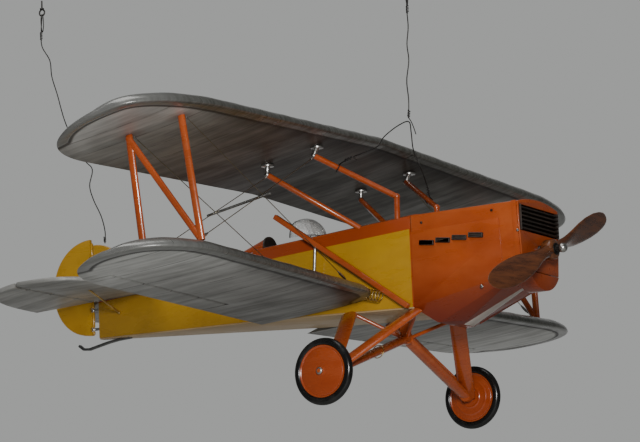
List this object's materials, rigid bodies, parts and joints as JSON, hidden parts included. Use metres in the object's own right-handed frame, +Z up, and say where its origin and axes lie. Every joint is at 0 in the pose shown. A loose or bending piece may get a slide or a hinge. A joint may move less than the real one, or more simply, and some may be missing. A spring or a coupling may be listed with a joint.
{
  "type": "propeller plane model",
  "caption": "Hanging display model of a biplane with N struts, box fuselage, disc wheels, wooden propeller and wire hangers for ceiling hooks.",
  "frame": {"origin": "foot of the front ceiling hook's screw shank, on its axis", "axes": "+X to the nose, +Y to the left wing tip, +Z up along the hook's shank"},
  "size_m": [1.1055, 1.4182, 0.8779],
  "materials": {
    "yellow_paint": "glossy yellow enamel",
    "belly_paint": "matt tan paint",
    "cowl_paint": "glossy orange enamel",
    "pan_paint": "satin pale paint",
    "bare_wood": "bare",
    "seat_leather": "satin",
    "clear_screen": "clear",
    "black_metal": "satin black",
    "bright_metal": "bright",
    "cast_metal": "machined",
    "blade_wood": "varnished",
    "silver_dope": "silver dope over fabric",
    "strut_paint": "glossy orange enamel",
    "rigging_steel": "satin",
    "brass_wire": "satin",
    "wheel_paint": "glossy orange enamel",
    "tyre_rubber": "glossy",
    "hanging_steel": "dull"
  },
  "bodies": {
    "airframe": {"side_panel_right": "yellow_paint", "side_panel_left": "yellow_paint", "belly_panel": "belly_paint", "top_deck": "cowl_paint", "turtle_deck": "cowl_paint", "bulkheads": "bare_wood", "cockpit_floor": "bare_wood", "seat": "seat_leather", "headrest": "cowl_paint", "windshield": "clear_screen", "cowl_shell": "cowl_paint", "cowl_pan": "pan_paint", "nose_plate": "cowl_paint", "radiator_slats": "black_metal", "radiator_core": "black_metal", "exhaust_stubs": "black_metal", "chin_scoop": "cowl_paint", "fasteners": "bright_metal", "shaft_bearing": "cast_metal", "upper_wing_skin": "silver_dope", "upper_wing_spars": "bare_wood", "upper_wing_ribs": "bare_wood", "lower_wing_right": "silver_dope", "lower_wing_left": "silver_dope", "lower_wing_spars": "bare_wood", "lower_wing_ribs": "bare_wood", "hinge_brackets": "bright_metal", "cabane_front": "strut_paint", "cabane_rear": "strut_paint", "strut_fittings": "bright_metal", "n_strut_right": "strut_paint", "n_strut_left": "strut_paint", "rigging_wires": "rigging_steel", "wire_spreaders": "rigging_steel", "root_lacing": "brass_wire", "diagonal_strut": "strut_paint", "gear_front_legs": "strut_paint", "gear_rear_legs": "strut_paint", "half_axles": "strut_paint", "gear_centre_struts": "strut_paint", "stabiliser": "silver_dope", "fin": "yellow_paint", "tail_braces": "bright_metal", "tail_skid": "rigging_steel", "front_wire": "hanging_steel", "bridle_wire": "hanging_steel", "rear_wire": "hanging_steel", "front_hook": "hanging_steel", "rear_hook": "hanging_steel"},
    "propeller": {"prop_shaft": "bright_metal", "propeller": "blade_wood", "prop_nut": "bright_metal"},
    "wheel_right": {"wheel_right": "wheel_paint", "tyre_right": "tyre_rubber"},
    "wheel_left": {"wheel_left": "wheel_paint", "tyre_left": "tyre_rubber"},
    "rudder": {"rudder": "yellow_paint"},
    "elevator": {"elevator": "silver_dope"},
    "aileron_right": {"aileron_right": "silver_dope"},
    "aileron_left": {"aileron_left": "silver_dope"}
  },
  "joints": [
    {"name": "propeller_spin", "type": "hinge", "parent": "airframe", "child": "propeller", "pos_m": [0.256, 0, -0.505], "axis": [1, 0, 0], "continuous": true},
    {"name": "wheel_right_spin", "type": "hinge", "parent": "airframe", "child": "wheel_right", "pos_m": [-0.048, -0.242, -0.7], "axis": [0, 1, 0], "continuous": true},
    {"name": "wheel_left_spin", "type": "hinge", "parent": "airframe", "child": "wheel_left", "pos_m": [-0.048, 0.242, -0.7], "axis": [0, 1, 0], "continuous": true},
    {"name": "rudder_hinge", "type": "hinge", "parent": "airframe", "child": "rudder", "pos_m": [-0.706, 0, -0.445], "axis": [0, 0, 1], "range_deg": [-20, 20]},
    {"name": "elevator_hinge", "type": "hinge", "parent": "airframe", "child": "elevator", "pos_m": [-0.698, 0, -0.471], "axis": [0, 1, 0], "range_deg": [-12, 28]},
    {"name": "aileron_right_hinge", "type": "hinge", "parent": "airframe", "child": "aileron_right", "pos_m": [-0.23458, -0.41272, -0.55629], "axis": [0, 0.9996, -0.0297], "range_deg": [-20, 20]},
    {"name": "aileron_left_hinge", "type": "hinge", "parent": "airframe", "child": "aileron_left", "pos_m": [-0.23458, 0.41272, -0.55629], "axis": [0, 0.9996, 0.0297], "range_deg": [-20, 20]}
  ],
  "couplings": [
    {"joint": "aileron_left_hinge", "follows": "aileron_right_hinge", "ratio": -1}
  ]
}
